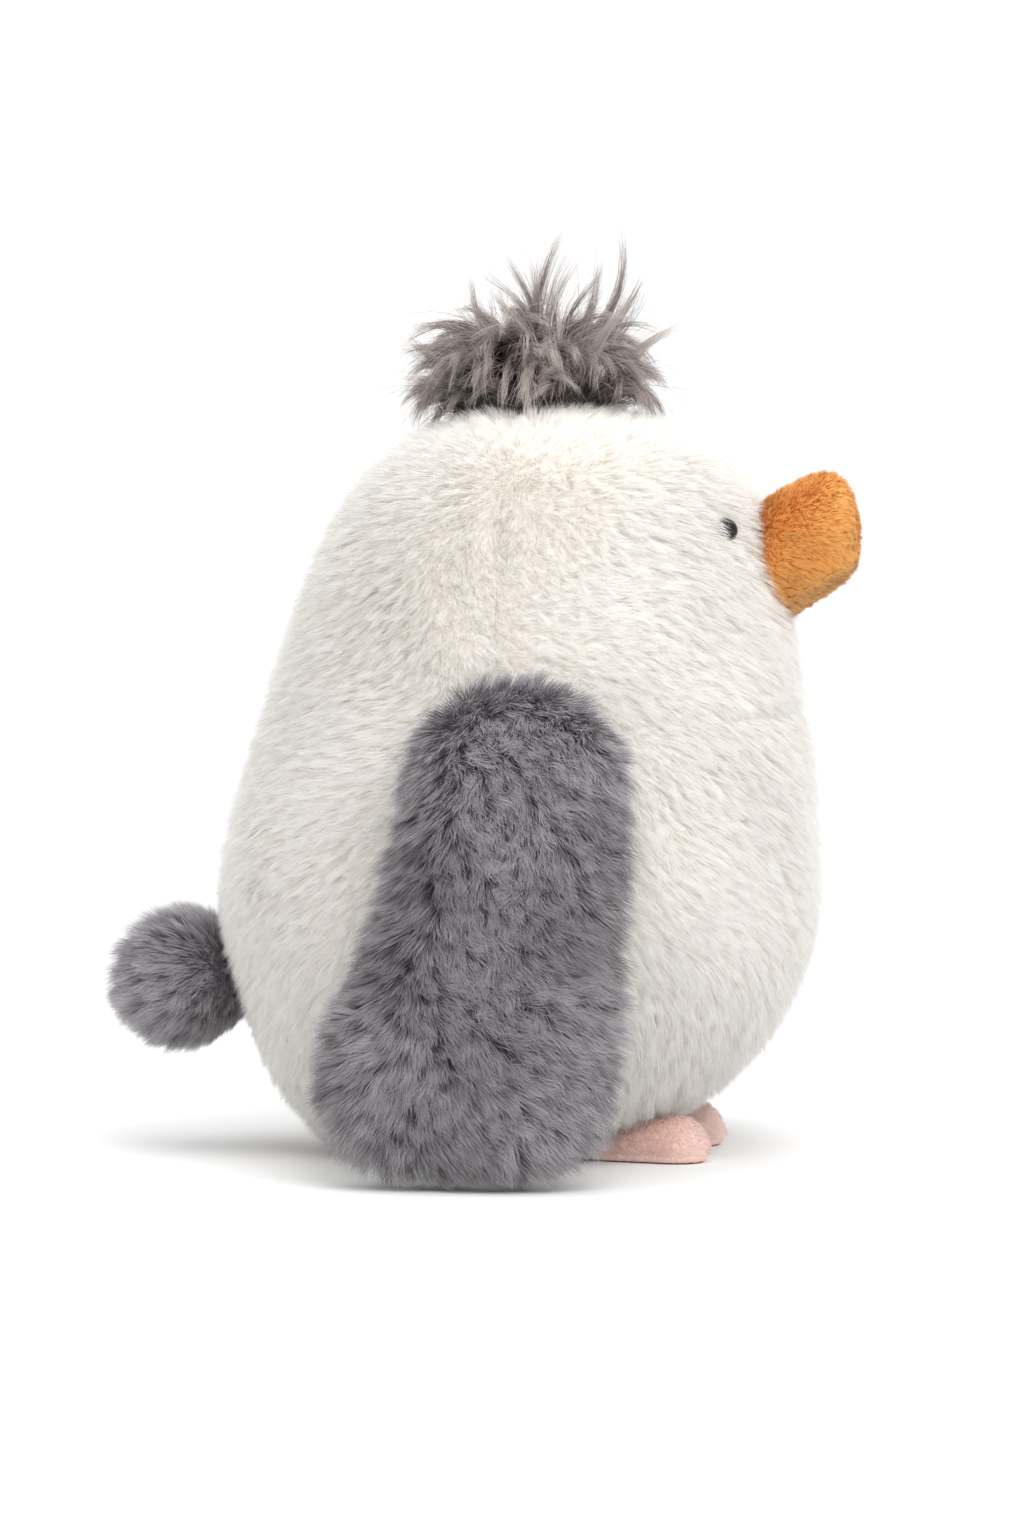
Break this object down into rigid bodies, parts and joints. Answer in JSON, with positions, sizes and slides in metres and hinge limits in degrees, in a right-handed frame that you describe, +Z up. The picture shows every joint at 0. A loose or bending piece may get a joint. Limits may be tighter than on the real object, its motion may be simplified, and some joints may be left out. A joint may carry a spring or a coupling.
{
  "type": "plush seabird toy",
  "caption": "Stuffed long-pile plush bird sitting upright: egg-shaped body, hanging shaggy wings, short tail, blunt beak, bead eyes, rounded feet and a wild hair tuft.",
  "frame": {"origin": "middle of the flattened base that the bird sits on, at floor level", "axes": "+Z up to the crown, -Y the way the face and beak point, +X the bird's own left side"},
  "size_m": [0.229, 0.2158, 0.2761],
  "materials": {
    "white_plush": "warm white long-pile plush",
    "grey_plush": "cool grey shaggy plush with paler tips",
    "long_hair": "taupe-grey long loose hair pile",
    "hair_backing": "knitted backing cloth of the hair pile",
    "orange_minky": "short dense orange pile",
    "orange_under_minky": "short dense pale orange pile",
    "pink_minky": "short dense pink-beige pile",
    "black_eye": "polished black bead",
    "fibre_fill": "loose polyester fibre filling",
    "pouch_cloth": "plain woven liner cloth",
    "pellets": "small plastic pellets in bulk",
    "washer_plastic": "moulded translucent white washer",
    "white_thread": "polyester sewing thread"
  },
  "bodies": {
    "body": {"back_panel_left": "white_plush", "back_panel_right": "white_plush", "face_panel": "white_plush", "belly_panel": "white_plush", "base_panel": "white_plush", "body_stuffing": "fibre_fill", "pellet_pouch": "pouch_cloth", "pellet_fill": "pellets", "eye_left": "black_eye", "eye_right": "black_eye", "eye_washer_left": "washer_plastic", "eye_washer_right": "washer_plastic", "beak_upper_panel": "orange_minky", "beak_under_panel": "orange_under_minky", "beak_stuffing": "fibre_fill", "tuft_patch": "hair_backing", "tuft_mound": "long_hair", "tuft_locks": "long_hair", "closing_stitches": "white_thread"},
    "tail": {"tail_upper_panel": "grey_plush", "tail_under_panel": "grey_plush", "tail_stuffing": "fibre_fill"},
    "wing_left": {"wing_outer_panel_left": "grey_plush", "wing_inner_panel_left": "grey_plush", "wing_stuffing_left": "fibre_fill"},
    "foot_left": {"foot_upper_left": "pink_minky", "foot_sole_left": "pink_minky", "foot_stuffing_left": "fibre_fill"},
    "wing_right": {"wing_outer_panel_right": "grey_plush", "wing_inner_panel_right": "grey_plush", "wing_stuffing_right": "fibre_fill"},
    "foot_right": {"foot_upper_right": "pink_minky", "foot_sole_right": "pink_minky", "foot_stuffing_right": "fibre_fill"}
  },
  "joints": [
    {"name": "wing_left_flap", "type": "hinge", "parent": "body", "child": "wing_left", "pos_m": [0.08427, -0.011, 0.1279], "axis": [0, -1, 0], "range_deg": [0, 110]},
    {"name": "wing_right_flap", "type": "hinge", "parent": "body", "child": "wing_right", "pos_m": [-0.08427, -0.011, 0.1279], "axis": [0, 1, 0], "range_deg": [0, 110]},
    {"name": "tail_bend", "type": "hinge", "parent": "body", "child": "tail", "pos_m": [0, 0.09683, 0.05142], "axis": [1, 0, 0], "range_deg": [-20, 25], "stiffness_Nm_per_rad": 0.06},
    {"name": "foot_left_turn", "type": "hinge", "parent": "body", "child": "foot_left", "pos_m": [0.019, -0.027, 0], "axis": [0, 0, 1], "range_deg": [-12, 12], "stiffness_Nm_per_rad": 0.02},
    {"name": "foot_right_turn", "type": "hinge", "parent": "body", "child": "foot_right", "pos_m": [-0.019, -0.027, 0], "axis": [0, 0, -1], "range_deg": [-12, 12], "stiffness_Nm_per_rad": 0.02}
  ]
}
